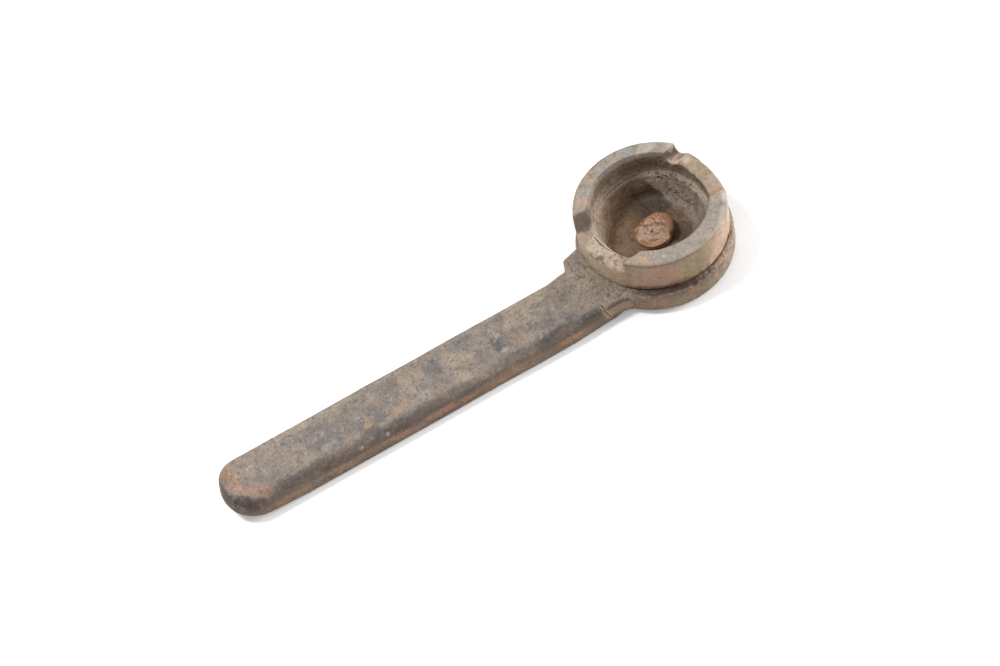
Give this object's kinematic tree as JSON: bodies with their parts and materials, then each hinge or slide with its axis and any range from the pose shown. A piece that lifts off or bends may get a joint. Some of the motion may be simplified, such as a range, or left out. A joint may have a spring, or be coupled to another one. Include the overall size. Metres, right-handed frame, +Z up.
{
  "type": "fire hydrant wrench",
  "caption": "Flat forged hydrant wrench with a jawed socket cup riveted to its head, for turning a hydrant's lugged nut or cap.",
  "frame": {"origin": "on the cup's axis, in the flat underside of the head plate", "axes": "+Z up along the cup's axis and out of its mouth, +X from the handle towards the head, so that the handle runs along -X and lies to the -Y side of the cup's axis"},
  "size_m": [0.2656, 0.0736, 0.033],
  "materials": {
    "forged_handle": "forged, browned with old rust, worn smooth in the hand",
    "worn_cup": "browned with old rust, polished by wear on the rim",
    "rusty_rivet": "battered, orange rust",
    "pin_steel": "dull, lightly rusted"
  },
  "bodies": {
    "root": {"head_plate": "forged_handle", "handle_bar": "forged_handle", "socket_cup": "worn_cup", "centre_rivet": "rusty_rivet", "rivet_burr": "rusty_rivet", "drive_pin_1": "pin_steel", "drive_pin_2": "pin_steel"}
  },
  "joints": []
}
